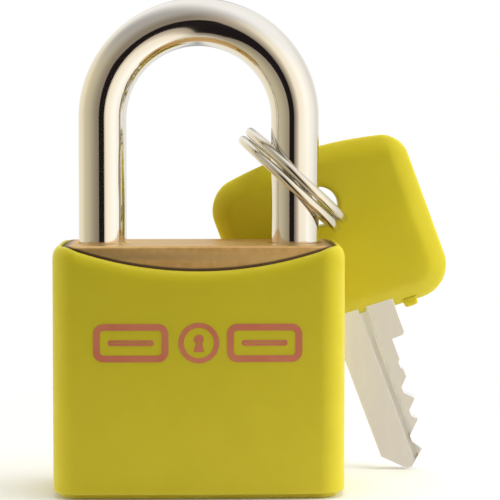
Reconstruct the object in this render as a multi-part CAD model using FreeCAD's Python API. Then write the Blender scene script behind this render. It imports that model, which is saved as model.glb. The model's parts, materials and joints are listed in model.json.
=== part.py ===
import FreeCAD, Part
import math
import os

from FreeCAD import Rotation, Vector

# A 35 mm brass padlock in a yellow plastic cover, with its key on a split ring round the shackle.
# Frame: origin at the middle of the cover's underside, +Z up, +X across the body, -Y the front.
# All sizes are in millimetres.

# ---- cover and brass body ----
BODY_WIDTH = 35.0
BODY_DEPTH = 14.0
BODY_HEIGHT = 31.1
BODY_CORNER = 2.0
WALL = 1.4
BODY_TOP = WALL + BODY_HEIGHT
COVER_TOP = BODY_TOP
COVER_TOP_ROUND = 0.8
COVER_CORNER = 3.3
COVER_BOTTOM_ROUND = 1.4
SCOOP_DEPTH = 3.2
KEY_WINDOW_WIDTH = 13.0
KEY_WINDOW_DEPTH = 10.6

# ---- shackle ----
SHACKLE_DIA = 6.3
LEG_X = 12.65
ARCH_Z = 48.8
SHORT_LEG_END = 21.5
LONG_LEG_END = 6.2
LIFT = 11.5
NOTCH_DEPTH = 1.2
BORE_PLAY = 0.08
SPRING_FLOOR = 2.4

# ---- plug and key cylinder ----
PLUG_DIA = 9.4
PLUG_PLAY = 0.05
PLUG_TOP = 21.6
KEYWAY_TOP = 20.2
KEYWAY_WIDTH = 2.1
PIN_DIA = 2.3
PIN_HOLE_DIA = 2.4
DRIVER_LENGTH = 3.0
CHAMBER_PLUG_LENGTH = 2.5
PIN_DROP = 1.3

# ---- key ----
BLADE_WIDTH = 7.2
BLADE_THICK = 1.9
BLADE_LENGTH = 17.9
BLADE_BACK = -3.95
CUT_DEPTHS = [0.3, 1.1, 1.2, 2.35]
FIRST_CUT = 3.8
CUT_PITCH = 3.45
CUT_FLAT = 0.9
STOP_DROP = 3.4
BOW_WIDTH = 28.2
BOW_THICK = 2.6
BOW_CROWN_TOP = 8.0
BOW_CROWN_X = -2.7
BOW_CROWN_BEND = 0.0092
BOW_LOWER_EDGE = -16.55
BOW_LOWER_SLOPE = -0.05
BOW_CORNERS = [4.6, 5.0, 2.8, 3.8]
BLADE_ROOT = -17.45
PAD_THICK = 3.3
PAD_HEIGHT = 12.0
HOLE_DIA = 5.4

# ---- latches and cam ----
LATCH_Z = 26.2
LATCH_DIA = 3.8
LATCH_HOLE_DIA = 4.0
LATCH_THROW = 1.35
CAM_LOW = 2.2
CAM_TOP = 27.8
CAM_CHAMBER_DIA = 8.2
CAM_CHAMBER_TOP = 28.2

# ---- cross pins ----
PLUG_PIN_DIA = 1.6
PLUG_PIN_Z = 19.2
PLUG_GROOVE_RADIUS = 4.1
SHACKLE_PIN_DIA = 1.4
SHACKLE_PIN_Z = 20.5

# ---- split ring ----
WIRE_DIA = 1.24
RING_RADIUS = 8.5
RING_PITCH = 1.45
RING_BEHIND = 4.5
RING_Z = 40.6
RING_TILT = 40.6

# ---- how the key hangs ----
KEY_LEAN_SIDE = -20.6
KEY_LEAN_BACK = 3.0
HOLE_ALONG_RING = 5.3
HOLE_OFF_RING = -0.5
HOLE_Y = 10.75

PARTS_FOLDER = "parts"
X_AXIS = Vector(1, 0, 0)
Y_AXIS = Vector(0, 1, 0)
Z_AXIS = Vector(0, 0, 1)


def block(x0, x1, y0, y1, z0, z1):
    """A box between two corners."""
    return Part.makeBox(x1 - x0, y1 - y0, z1 - z0, Vector(x0, y0, z0))


def rod(start, direction, radius, length):
    """A cylinder from a start point along a direction."""
    return Part.makeCylinder(radius, length, start, direction)


def rounded_block(width, depth, corner, z0, z1):
    """A block centred on Z whose four upright edges are rounded."""
    solid = block(-width / 2, width / 2, -depth / 2, depth / 2, z0, z1)
    upright = [e for e in solid.Edges if is_upright(e)]
    return solid.makeFillet(corner, upright)


def is_upright(edge):
    """True for a straight edge that runs along Z."""
    box = edge.BoundBox
    return box.XLength < 1e-6 and box.YLength < 1e-6


def edges_at_height(solid, z):
    """Every edge of a solid that lies in one level plane."""
    level = []
    for edge in solid.Edges:
        box = edge.BoundBox
        if abs(box.ZMin - z) < 1e-4 and abs(box.ZMax - z) < 1e-4:
            level.append(edge)
    return level


def cut_heights():
    """Height of each pin's axis above the base, one for each cut in the key."""
    return [WALL + FIRST_CUT + i * CUT_PITCH for i in range(len(CUT_DEPTHS))]


# ------------------------------------------------------------------ body and cover


def scoop_radius():
    """Radius of the arc whose chord is the body's width and whose sagitta is the scoop's depth."""
    half = BODY_WIDTH / 2
    return (half * half + SCOOP_DEPTH * SCOOP_DEPTH) / (2 * SCOOP_DEPTH)


def make_cover():
    """The plastic cover: a cup open at the top, scooped front and back, with a window for the key."""
    width = BODY_WIDTH + 2 * WALL
    depth = BODY_DEPTH + 2 * WALL
    outer = rounded_block(width, depth, COVER_CORNER, 0, COVER_TOP)
    outer = outer.makeFillet(COVER_BOTTOM_ROUND, edges_at_height(outer, 0))
    sides = [e for e in edges_at_height(outer, COVER_TOP) if e.BoundBox.XLength < 1e-6]
    outer = outer.makeFillet(COVER_TOP_ROUND, sides)
    cavity = rounded_block(BODY_WIDTH, BODY_DEPTH, COVER_CORNER - WALL, WALL, COVER_TOP + 1)
    window = rounded_block(KEY_WINDOW_WIDTH, KEY_WINDOW_DEPTH, 3.0, -1, WALL + 1)
    radius = scoop_radius()
    centre_z = BODY_TOP - SCOOP_DEPTH + radius
    scoop = rod(Vector(0, -depth, centre_z), Y_AXIS, radius, 2 * depth)
    return outer.cut(cavity).cut(window).cut(scoop)


def shackle_bore(x, floor):
    """One leg's bore with its countersunk mouth."""
    radius = SHACKLE_DIA / 2 + BORE_PLAY
    bore = rod(Vector(x, 0, floor), Z_AXIS, radius, BODY_TOP - floor + 1)
    flare = 0.5
    mouth = Part.makeCone(radius, radius + flare + 0.1, flare + 0.1, Vector(x, 0, BODY_TOP - flare))
    return bore.fuse(mouth)


def cylinder_bores():
    """The plug's bore, the cam's chamber above it and the cross bore for the two latches."""
    plug = rod(Vector(0, 0, 0), Z_AXIS, PLUG_DIA / 2 + PLUG_PLAY, PLUG_TOP + PLUG_PLAY)
    chamber = rod(Vector(0, 0, PLUG_TOP - 1), Z_AXIS, CAM_CHAMBER_DIA / 2, CAM_CHAMBER_TOP - PLUG_TOP + 1)
    start = Vector(-LEG_X, 0, LATCH_Z)
    cross = rod(start, X_AXIS, LATCH_HOLE_DIA / 2, LEG_X + BODY_WIDTH / 2 + 1)
    return [plug, chamber, cross]


def pin_chambers():
    """The level chambers that hold the driver pins and their springs."""
    bores = []
    for z in cut_heights():
        bores.append(rod(Vector(0, 0, z), X_AXIS, PIN_HOLE_DIA / 2, BODY_WIDTH / 2 + 1))
    return bores


def plug_pin_x():
    """X of the plug's cross pin, which lies in the plug's groove with a little play."""
    return -(PLUG_GROOVE_RADIUS + PLUG_PLAY + PLUG_PIN_DIA / 2)


def shackle_pin_x():
    """X of the shackle's cross pin, beside the flat on the long leg."""
    flat = -LEG_X + SHACKLE_DIA / 2 - NOTCH_DEPTH
    return flat + PLUG_PLAY + SHACKLE_PIN_DIA / 2


def cross_pin(x, z, dia, length):
    """A pin driven in from the front of the body along Y."""
    return rod(Vector(x, -BODY_DEPTH / 2, z), Y_AXIS, dia / 2, length)


def make_plug_pin():
    return cross_pin(plug_pin_x(), PLUG_PIN_Z, PLUG_PIN_DIA, 11.0)


def make_shackle_pin():
    return cross_pin(shackle_pin_x(), SHACKLE_PIN_Z, SHACKLE_PIN_DIA, 11.5)


def make_body():
    """The solid brass body with every bore drilled in it."""
    body = rounded_block(BODY_WIDTH, BODY_DEPTH, BODY_CORNER, WALL, BODY_TOP)
    body = body.makeChamfer(0.25, edges_at_height(body, BODY_TOP))
    tools = [shackle_bore(-LEG_X, SPRING_FLOOR), shackle_bore(LEG_X, SHORT_LEG_END - 0.5)]
    tools += cylinder_bores()
    tools += pin_chambers()
    tools += [make_plug_pin(), make_shackle_pin()]
    for tool in tools:
        body = body.cut(tool)
    return body


def make_chamber_plugs():
    """The four brass plugs that close the pin chambers in the body's side."""
    start = BODY_WIDTH / 2 - CHAMBER_PLUG_LENGTH
    plugs = []
    for z in cut_heights():
        plugs.append(rod(Vector(start, 0, z), X_AXIS, PIN_HOLE_DIA / 2, CHAMBER_PLUG_LENGTH))
    return Part.makeCompound(plugs)


def make_cross_bore_plug():
    """The brass plug that closes the latches' cross bore, outside the short leg."""
    start = LEG_X + SHACKLE_DIA / 2 + BORE_PLAY + 0.1
    length = BODY_WIDTH / 2 - start
    return rod(Vector(start, 0, LATCH_Z), X_AXIS, LATCH_HOLE_DIA / 2, length)


# ------------------------------------------------------------------ shackle


def leg_notch(side):
    """The slot across a leg's inner side that a latch enters."""
    inner = LEG_X - SHACKLE_DIA / 2
    half = LATCH_DIA / 2 + 0.1
    x0 = inner - 1
    x1 = inner + NOTCH_DEPTH
    slot = block(x0, x1, -SHACKLE_DIA, SHACKLE_DIA, LATCH_Z - half, LATCH_Z + half)
    if side < 0:
        slot = slot.mirror(Vector(0, 0, 0), X_AXIS)
    return slot


def long_leg_flat():
    """The flat that slides past the cross pin as the shackle lifts."""
    inner = -LEG_X + SHACKLE_DIA / 2
    low = SHACKLE_PIN_Z - LIFT - SHACKLE_PIN_DIA / 2 - PLUG_PLAY
    high = SHACKLE_PIN_Z + SHACKLE_PIN_DIA / 2 + PLUG_PLAY
    return block(inner - NOTCH_DEPTH, inner + 1, -SHACKLE_DIA, SHACKLE_DIA, low, high)


def long_leg_neck():
    """The groove right round the long leg's foot that lets the open shackle turn on its pin."""
    low = SHACKLE_PIN_Z - LIFT - SHACKLE_PIN_DIA / 2 - PLUG_PLAY
    height = SHACKLE_PIN_DIA + 0.2
    base = Vector(-LEG_X, 0, low)
    collar = rod(base, Z_AXIS, SHACKLE_DIA, height)
    return collar.cut(rod(base, Z_AXIS, SHACKLE_DIA / 2 - NOTCH_DEPTH, height))


def make_shackle():
    """The bent rod: two legs and a half ring, with its notches cut."""
    radius = SHACKLE_DIA / 2
    long_leg = rod(Vector(-LEG_X, 0, LONG_LEG_END), Z_AXIS, radius, ARCH_Z - LONG_LEG_END)
    short_leg = rod(Vector(LEG_X, 0, SHORT_LEG_END), Z_AXIS, radius, ARCH_Z - SHORT_LEG_END)
    long_leg = long_leg.makeChamfer(0.4, edges_at_height(long_leg, LONG_LEG_END))
    short_leg = short_leg.makeChamfer(0.7, edges_at_height(short_leg, SHORT_LEG_END))
    arch = Part.makeTorus(LEG_X, radius, Vector(0, 0, ARCH_Z), Y_AXIS, 0, 360, 360)
    arch = arch.common(block(-30, 30, -30, 30, ARCH_Z, ARCH_Z + 30))
    shackle = long_leg.fuse([arch, short_leg]).removeSplitter()
    for tool in [leg_notch(-1), leg_notch(1), long_leg_flat(), long_leg_neck()]:
        shackle = shackle.cut(tool)
    return shackle


def coil(radius, wire, turns, length):
    """A round-wire coil along Z from z = 0 to z = length, between the wire's own outer edges."""
    rise = length - wire
    path = Part.makeHelix(rise / turns, rise, radius)
    section = Part.Wire(Part.makeCircle(wire / 2, Vector(radius, 0, 0), Y_AXIS))
    spring = Part.Wire(path.Edges).makePipeShell([section], True, True)
    spring.translate(Vector(0, 0, wire / 2))
    return spring


def make_shackle_spring():
    """The spring under the long leg, squeezed while the shackle is down."""
    gap = 0.05
    length = LONG_LEG_END - SPRING_FLOOR - 2 * gap
    spring = coil(2.3, 0.6, 4.5, length)
    spring.translate(Vector(-LEG_X, 0, SPRING_FLOOR + gap))
    return spring


# ------------------------------------------------------------------ plug, pins and cam


def pin_tip_x(depth):
    """X of a key pin's point when it rests in a cut of the given depth."""
    return BLADE_BACK + BLADE_WIDTH - depth


def make_plug():
    """The turning plug with its keyway, wards, pin holes, groove and drive slot."""
    radius = PLUG_DIA / 2
    plug = rod(Vector(0, 0, WALL), Z_AXIS, radius, PLUG_TOP - WALL)
    plug = plug.makeChamfer(0.3, edges_at_height(plug, WALL))
    back = BLADE_BACK - 0.1
    front = BLADE_BACK + BLADE_WIDTH + 0.2
    half = KEYWAY_WIDTH / 2
    keyway = block(back, front, -half, half, 0, KEYWAY_TOP)
    ward = 0.4
    keyway = keyway.cut(block(0.3, 1.1, -half, -half + ward, 0, KEYWAY_TOP))
    keyway = keyway.cut(block(-1.35, -0.55, half - ward, half, 0, KEYWAY_TOP))
    plug = plug.cut(keyway)
    for depth, z in zip(CUT_DEPTHS, cut_heights()):
        start = pin_tip_x(depth) - PIN_DROP - 0.15
        plug = plug.cut(rod(Vector(start, 0, z), X_AXIS, PIN_HOLE_DIA / 2, PLUG_DIA))
    half_groove = PLUG_PIN_DIA / 2 + 0.1
    collar = rod(Vector(0, 0, PLUG_PIN_Z - half_groove), Z_AXIS, PLUG_DIA, 2 * half_groove)
    core = rod(Vector(0, 0, PLUG_PIN_Z - half_groove), Z_AXIS, PLUG_GROOVE_RADIUS, 2 * half_groove)
    plug = plug.cut(collar.cut(core))
    return plug.cut(block(-PLUG_DIA, PLUG_DIA, -1.05, 1.05, PLUG_TOP - 1, PLUG_TOP + 1))


def key_pin(depth, z):
    """A pointed pin that rides in one cut of the key and ends inside the plug's surface."""
    radius = PIN_DIA / 2
    outer = math.sqrt((PLUG_DIA / 2) ** 2 - radius**2) - 0.03
    tip = pin_tip_x(depth)
    point = 0.7
    cone = Part.makeCone(0.35, radius, point, Vector(tip, 0, z), X_AXIS)
    return cone.fuse(rod(Vector(tip + point, 0, z), X_AXIS, radius, outer - tip - point))


def driver_start():
    """X of the driver pins' inner ends, at the shear line."""
    return PLUG_DIA / 2 + PLUG_PLAY


def driver_pin(z):
    """A flat-ended pin that its spring pushes towards the plug."""
    pin = rod(Vector(driver_start(), 0, z), X_AXIS, PIN_DIA / 2, DRIVER_LENGTH)
    return pin.makeChamfer(0.2, [e for e in pin.Edges if e.Curve.TypeId == "Part::GeomCircle"])


def pin_spring(z):
    """The small spring between a driver pin and its chamber plug."""
    gap = 0.03
    start = driver_start() + DRIVER_LENGTH + gap
    end = BODY_WIDTH / 2 - CHAMBER_PLUG_LENGTH - gap
    spring = coil(0.85, 0.3, 7, end - start)
    spring.rotate(Vector(0, 0, 0), Y_AXIS, 90)
    spring.translate(Vector(start, 0, z))
    return spring


def snail_outline(z):
    """A two-lobed snail: each lobe's radius grows evenly with the angle over a quarter turn."""
    points = []
    for lobe in (0, 180):
        for step in range(0, 10):
            points.append((lobe + 10 * step, CAM_LOW + LATCH_THROW * step / 9))
        points.append((lobe + 102, CAM_LOW + LATCH_THROW))
        points.append((lobe + 116, CAM_LOW))
        points.append((lobe + 150, CAM_LOW))
    corners = []
    for angle, radius in points:
        turn = math.radians(angle)
        corners.append(Vector(radius * math.cos(turn), radius * math.sin(turn), z))
    return Part.makePolygon(corners + corners[:1])


def make_cam():
    """The cam on the plug: a drive tongue, a disc, a stem and the snail that spreads the latches."""
    disc_base = PLUG_TOP + PLUG_PLAY
    snail_base = LATCH_Z - 1.6
    disc = rod(Vector(0, 0, disc_base), Z_AXIS, CAM_CHAMBER_DIA / 2 - 0.1, 0.9)
    tongue = block(-3.9, 3.9, -1.0, 1.0, PLUG_TOP - 0.95, disc_base)
    stem = rod(Vector(0, 0, disc_base), Z_AXIS, 2.0, CAM_TOP - disc_base)
    snail = Part.Face(snail_outline(snail_base)).extrude(Vector(0, 0, CAM_TOP - snail_base))
    return disc.fuse([tongue, stem, snail]).removeSplitter()


def make_latch(side):
    """A latch bolt: a cone towards the cam, a round bolt and a chamfered nose at the leg."""
    radius = LATCH_DIA / 2
    tip = CAM_LOW + 0.2
    outer = LEG_X - SHACKLE_DIA / 2 - 0.2
    cone_length = 1.7
    nose = 0.5
    cone = Part.makeCone(0.4, radius, cone_length, Vector(tip, 0, LATCH_Z), X_AXIS)
    bolt_end = outer - nose
    bolt = rod(Vector(tip + cone_length, 0, LATCH_Z), X_AXIS, radius, bolt_end - tip - cone_length)
    end = Part.makeCone(radius, radius - nose, nose, Vector(bolt_end, 0, LATCH_Z), X_AXIS)
    latch = cone.fuse([bolt, end])
    if side < 0:
        latch.rotate(Vector(0, 0, 0), Z_AXIS, 180)
    return latch


# ------------------------------------------------------------------ key and ring


def hole_place():
    """Where the middle of the key's hole hangs on the ring."""
    turn = math.radians(RING_TILT)
    along = Vector(math.cos(turn), 0, -math.sin(turn)) * HOLE_ALONG_RING
    off = Vector(math.sin(turn), 0, math.cos(turn)) * HOLE_OFF_RING
    return Vector(LEG_X, 0, RING_Z) + along + off + Vector(0, HOLE_Y, 0)


def hang_key(shape):
    """Carries a shape from the key's own frame, whose origin is its hole, to where the key hangs."""
    spin = Rotation(Y_AXIS, KEY_LEAN_SIDE).multiply(Rotation(X_AXIS, KEY_LEAN_BACK))
    shape.Placement = FreeCAD.Placement(hole_place(), spin)
    return shape


def bitting_outline():
    """Points down the cut edge: (distance past the stop, depth), with 45 degree ramps between cuts."""
    points = [(0.0, 0.0)]
    last_flat = None
    for index, depth in enumerate(CUT_DEPTHS):
        middle = FIRST_CUT + index * CUT_PITCH
        flat = (middle - CUT_FLAT / 2, middle + CUT_FLAT / 2)
        if last_flat is None:
            points.append((flat[0] - depth, 0.0))
        else:
            run = flat[0] - last_flat
            before = points[-1][1]
            peak = max(0.0, (before + depth - run) / 2)
            points.append((last_flat + before - peak, peak))
            if peak == 0.0:
                points.append((flat[0] - depth, 0.0))
        points.append((flat[0], depth))
        points.append((flat[1], depth))
        last_flat = flat[1]
    return points


def make_key_blade():
    """The nickel blade: cut edge on +X, a stop shoulder under the bow and a groove in each face."""
    base = BLADE_ROOT
    stop = base - STOP_DROP
    edge = BLADE_BACK + BLADE_WIDTH
    anchor = base + 9.0
    outline = [(BLADE_BACK, anchor), (edge + 1.9, anchor), (edge + 1.9, stop)]
    for distance, depth in bitting_outline():
        outline.append((edge - depth, stop - distance))
    tip_z = stop - BLADE_LENGTH
    outline.append((edge - 1.4, tip_z + 1.9))
    outline.append((BLADE_BACK + 3.6, tip_z))
    outline.append((BLADE_BACK + 2.6, tip_z + 0.15))
    outline.append((BLADE_BACK, tip_z + 2.8))
    corners = [Vector(x, -BLADE_THICK / 2, z) for x, z in outline]
    blade = Part.Face(Part.makePolygon(corners + corners[:1])).extrude(Vector(0, BLADE_THICK, 0))
    half = BLADE_THICK / 2
    groove = 0.5
    front_groove = block(0.15, 1.25, -half - 1, -half + groove, tip_z - 1, base + 0.4)
    back_groove = block(-1.5, -0.4, half - groove, half + 1, tip_z - 1, base + 0.4)
    blade = blade.cut(front_groove).cut(back_groove)
    hole = rod(Vector(-0.35, -5, base + 6.5), Y_AXIS, 1.2, 10)
    return hang_key(blade.cut(hole))


def bow_slab(width, height, thick, corners, round_edge, centre_x, z0):
    """A rounded slab in the key's plane; corners gives the lower and the upper corner radius."""
    x0 = centre_x - width / 2
    slab = block(x0, x0 + width, -thick / 2, thick / 2, z0, z0 + height)
    for radius, z in zip(corners, (z0, z0 + height)):
        across = []
        for edge in edges_at_height(slab, z):
            if edge.BoundBox.XLength < 1e-6 and edge.BoundBox.YLength > thick / 2:
                across.append(edge)
        slab = slab.makeFillet(radius, across)
    rim = [e for e in slab.Edges if e.BoundBox.YLength < 1e-6]
    return slab.makeFillet(round_edge, rim)


def bow_head():
    """The bow's slab: straight sides, a crowned top edge and a nearly level lower edge."""
    x0 = -BOW_WIDTH / 2
    x1 = BOW_WIDTH / 2
    y = -BOW_THICK / 2
    low_left = Vector(x0, y, BOW_LOWER_EDGE + BOW_LOWER_SLOPE * x0)
    low_right = Vector(x1, y, BOW_LOWER_EDGE + BOW_LOWER_SLOPE * x1)
    high_left = Vector(x0, y, BOW_CROWN_TOP - BOW_CROWN_BEND * (x0 - BOW_CROWN_X) ** 2)
    high_right = Vector(x1, y, BOW_CROWN_TOP - BOW_CROWN_BEND * (x1 - BOW_CROWN_X) ** 2)
    crown = Part.Arc(high_right, Vector(BOW_CROWN_X, y, BOW_CROWN_TOP), high_left).toShape()
    bottom = Part.makeLine(low_left, low_right)
    right = Part.makeLine(low_right, high_right)
    left = Part.makeLine(high_left, low_left)
    slab = Part.Face(Part.Wire([bottom, right, crown, left])).extrude(Vector(0, BOW_THICK, 0))
    for corner, radius in zip([low_left, low_right, high_right, high_left], BOW_CORNERS):
        across = []
        for edge in slab.Edges:
            middle = edge.BoundBox.Center
            if abs(middle.x - corner.x) < 1e-3 and abs(middle.z - corner.z) < 1e-3:
                across.append(edge)
        slab = slab.makeFillet(radius, across)
    rim = [e for e in slab.Edges if e.BoundBox.YLength < 1e-6]
    return slab.makeFillet(1.1, rim)


def make_key_bow():
    """The yellow plastic head moulded round the blade's top, with the ring's hole through it."""
    head = bow_head()
    pad_base = BOW_LOWER_EDGE + 1.3
    pad = bow_slab(BOW_WIDTH - 5.0, PAD_HEIGHT, PAD_THICK, (4.0, 5.0), 0.35, 0, pad_base)
    nub = rod(Vector(7.3, 0, BOW_LOWER_EDGE - 1.05), Z_AXIS, 0.9, 2.0)
    head = head.fuse([pad, nub])
    hole = rod(Vector(0, -5, 0), Y_AXIS, HOLE_DIA / 2, 10)
    flare = 0.5
    outer = HOLE_DIA / 2 + flare
    front = Part.makeCone(outer, HOLE_DIA / 2, flare, Vector(0, -BOW_THICK / 2, 0), Y_AXIS)
    back = Part.makeCone(HOLE_DIA / 2, outer, flare, Vector(0, BOW_THICK / 2 - flare, 0), Y_AXIS)
    head = head.cut(hole).cut(front).cut(back)
    hang_key(head)
    return head.cut(make_key_blade())


def make_split_ring():
    """Two left-handed turns of wire round the short leg, tilted, with both ends at the back."""
    left_handed = True
    height = 2 * RING_PITCH
    path = Part.makeLongHelix(RING_PITCH, height, RING_RADIUS, 0, left_handed)
    section = Part.Wire(Part.makeCircle(WIRE_DIA / 2, Vector(RING_RADIUS, 0, 0), Y_AXIS))
    ring = Part.Wire(path.Edges).makePipeShell([section], True, True)
    ring.translate(Vector(0, 0, -height / 2))
    ring.rotate(Vector(0, 0, 0), Z_AXIS, 90)
    ring.rotate(Vector(0, 0, 0), Y_AXIS, RING_TILT)
    ring.translate(Vector(LEG_X, RING_BEHIND, RING_Z))
    return ring


# ------------------------------------------------------------------ all the pieces


def build_nodes():
    """Every piece of the padlock by its name."""
    nodes = {
        "cover": make_cover(),
        "lock_body": make_body(),
        "chamber_plugs": make_chamber_plugs(),
        "cross_bore_plug": make_cross_bore_plug(),
        "plug_retaining_pin": make_plug_pin(),
        "shackle_retaining_pin": make_shackle_pin(),
        "shackle": make_shackle(),
        "shackle_spring": make_shackle_spring(),
        "plug": make_plug(),
        "cam": make_cam(),
        "latch_right": make_latch(1),
        "latch_left": make_latch(-1),
        "key_blade": make_key_blade(),
        "key_bow": make_key_bow(),
        "split_ring": make_split_ring(),
    }
    for number, (depth, z) in enumerate(zip(CUT_DEPTHS, cut_heights()), 1):
        nodes[f"key_pin_{number}"] = key_pin(depth, z)
        nodes[f"driver_pin_{number}"] = driver_pin(z)
        nodes[f"pin_spring_{number}"] = pin_spring(z)
    return nodes


def main():
    os.makedirs(PARTS_FOLDER, exist_ok=True)
    for name, shape in build_nodes().items():
        shape.exportStep(f"{PARTS_FOLDER}/{name}.step")
        print(f"{name}: volume {shape.Volume:.2f} mm3, solids {len(shape.Solids)}, valid {shape.isValid()}")


if __name__ == "__main__":
    main()
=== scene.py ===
import json
import logging
import math
from dataclasses import dataclass
from enum import Enum
from typing import Sequence

import bpy
import numpy as np
from bpy.types import Material, Node, NodeSocket, NodeTree
from mathutils import Matrix, Vector


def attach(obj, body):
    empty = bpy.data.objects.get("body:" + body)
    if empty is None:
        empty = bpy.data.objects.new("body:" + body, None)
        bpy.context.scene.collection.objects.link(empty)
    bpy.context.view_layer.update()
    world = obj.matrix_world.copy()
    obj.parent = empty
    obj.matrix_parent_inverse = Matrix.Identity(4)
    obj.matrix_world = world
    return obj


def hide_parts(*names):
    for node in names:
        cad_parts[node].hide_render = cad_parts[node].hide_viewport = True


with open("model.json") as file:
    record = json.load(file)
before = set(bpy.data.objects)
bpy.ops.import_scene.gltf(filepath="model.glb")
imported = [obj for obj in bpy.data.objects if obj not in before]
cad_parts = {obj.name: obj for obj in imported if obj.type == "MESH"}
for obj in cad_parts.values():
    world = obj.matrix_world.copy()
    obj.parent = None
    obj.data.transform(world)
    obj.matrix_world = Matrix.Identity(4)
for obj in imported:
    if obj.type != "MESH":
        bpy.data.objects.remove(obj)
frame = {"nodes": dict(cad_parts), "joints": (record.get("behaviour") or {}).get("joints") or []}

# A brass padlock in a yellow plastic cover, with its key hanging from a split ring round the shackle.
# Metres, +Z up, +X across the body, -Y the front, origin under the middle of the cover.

LOG = logging.getLogger("padlock")
MM = 0.001
Array = np.ndarray
Pair = tuple[float, float]
Triple = tuple[float, float, float]
Colour = tuple[float, float, float, float]
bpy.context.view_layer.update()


def tint(red: int, green: int, blue: int) -> Colour:
    """A colour given in display values from 0 to 255, as linear light.

    Args:
        red, green, blue: display values.

    Returns:
        The linear colour with alpha 1.
    """
    parts = [v / 255.0 for v in (red, green, blue)]
    linear = [v / 12.92 if v <= 0.04045 else ((v + 0.055) / 1.055) ** 2.4 for v in parts]
    return (linear[0], linear[1], linear[2], 1.0)


def full_turn(count: int) -> Array:
    """Evenly spaced angles once round a circle."""
    return np.linspace(0, math.tau, count, endpoint=False)


def joined(*parts: Array) -> Array:
    """Places from their coordinates, put together on a new last axis."""
    return np.stack(parts, axis=-1)


def linked(name: str, data: bpy.types.ID) -> bpy.types.Object:
    """Makes an object of some data and links it to the scene.

    Args:
        name: the object's name.
        data: its mesh, lamp or camera.

    Returns:
        The object.
    """
    item = bpy.data.objects.new(name, data)
    bpy.context.scene.collection.objects.link(item)
    return item


# ---- meshes


def grid_quads(rows: int, columns: int, wrap_rows: bool, wrap_columns: bool) -> Array:
    """Quads between neighbouring points of a grid stored row by row.

    Args:
        rows, columns: the size of the grid.
        wrap_rows, wrap_columns: whether the last row or column joins the first.

    Returns:
        An array of four point numbers a quad.
    """
    row, column = np.meshgrid(
        np.arange(rows if wrap_rows else rows - 1),
        np.arange(columns if wrap_columns else columns - 1),
        indexing="ij",
    )
    here, below = row * columns, (row + 1) % rows * columns
    right = (column + 1) % columns
    return joined(here + column, here + right, below + right, below + column).reshape(-1, 4)


def enclosed_volume(points: Array, faces: Sequence[Sequence[int]]) -> float:
    """Signed volume of a closed mesh: the sum of a . (b x c) / 6 over a fan of each face.

    Args:
        points: N x 3 places.
        faces: point numbers of each face.

    Returns:
        The volume, positive where the faces point outwards.
    """
    fans = [(f[0], f[i], f[i + 1]) for f in faces for i in range(1, len(f) - 1)]
    a, b, c = (points[np.array(fans)[:, k]] for k in range(3))
    return float(np.einsum("ij,ij->i", a, np.cross(b, c)).sum() / 6.0)


@dataclass
class Shell:
    """A closed surface: its points in millimetres, its faces and any pattern places."""

    points: Array
    faces: list[list[int]]
    pattern: Array | None = None

    @staticmethod
    def tube(rows: Array, pattern: Array | None = None) -> "Shell":
        """A tube of closed rows whose two ends are fans about their middles.

        Args:
            rows: rows x columns x 3 places, in millimetres.
            pattern: places in the straight rod that the tube was bent from, same shape.

        Returns:
            The closed shell.
        """
        count, columns = rows.shape[:2]
        points = np.concatenate([rows.reshape(-1, 3), [rows[0].mean(0), rows[-1].mean(0)]])
        quads = grid_quads(count, columns, False, True).tolist()
        here = np.arange(columns)
        after = np.roll(here, -1)
        first, last = count * columns, count * columns + 1
        start = joined(after, here, np.full(columns, first)).tolist()
        base = (count - 1) * columns
        end = joined(here + base, after + base, np.full(columns, last)).tolist()
        if pattern is not None:
            middles = [pattern[0].mean(0), pattern[-1].mean(0)]
            pattern = np.concatenate([pattern.reshape(-1, 3), middles])
        return Shell(points, quads + start + end, pattern)

    @staticmethod
    def ring(rows: Array) -> "Shell":
        """A surface that closes on itself both ways, like the skin of a ring.

        Args:
            rows: rows x columns x 3 places, in millimetres.

        Returns:
            The closed shell.
        """
        count, columns = rows.shape[:2]
        return Shell(rows.reshape(-1, 3), grid_quads(count, columns, True, True).tolist())

    def placed(self, place: Matrix) -> "Shell":
        """The shell carried by a placement in millimetres.

        Args:
            place: the placement.

        Returns:
            A new shell.
        """
        turn = np.array(place.to_3x3())
        return Shell(self.points @ turn.T + np.array(place.translation), self.faces, self.pattern)

    def piece(self, name: str, body: str, slot: str, material: Material, sharp: float = 32.0,
              replaces: Sequence[str] = ()) -> None:
        """Makes the shell an object of the scene that rides on a body.

        Args:
            name: the piece's name.
            body: the body that it moves with.
            slot: the record's material slot name; not used.
            material: its finish.
            sharp: the angle in degrees past which an edge stays crisp.
            replaces: the CAD nodes that it stands for.
        """
        faces = self.faces
        if enclosed_volume(self.points, faces) < 0:
            faces = [face[::-1] for face in faces]
        mesh = bpy.data.meshes.new(name)
        mesh.from_pydata((self.points * MM).tolist(), [], faces)
        if self.pattern is not None:
            layer = mesh.attributes.new("rod", "FLOAT_VECTOR", "POINT")
            layer.data.foreach_set("vector", (self.pattern * MM).astype(np.float32).ravel())
        mesh.update()
        mesh.shade_smooth()
        mesh.set_sharp_from_angle(angle=math.radians(sharp))
        mesh.materials.append(material)
        piece = linked(name, mesh)
        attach(piece, body)
        if replaces:
            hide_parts(*replaces)
        LOG.info("%s: %d faces on %s", name, len(faces), body)


# ---- shader nodes


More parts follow.
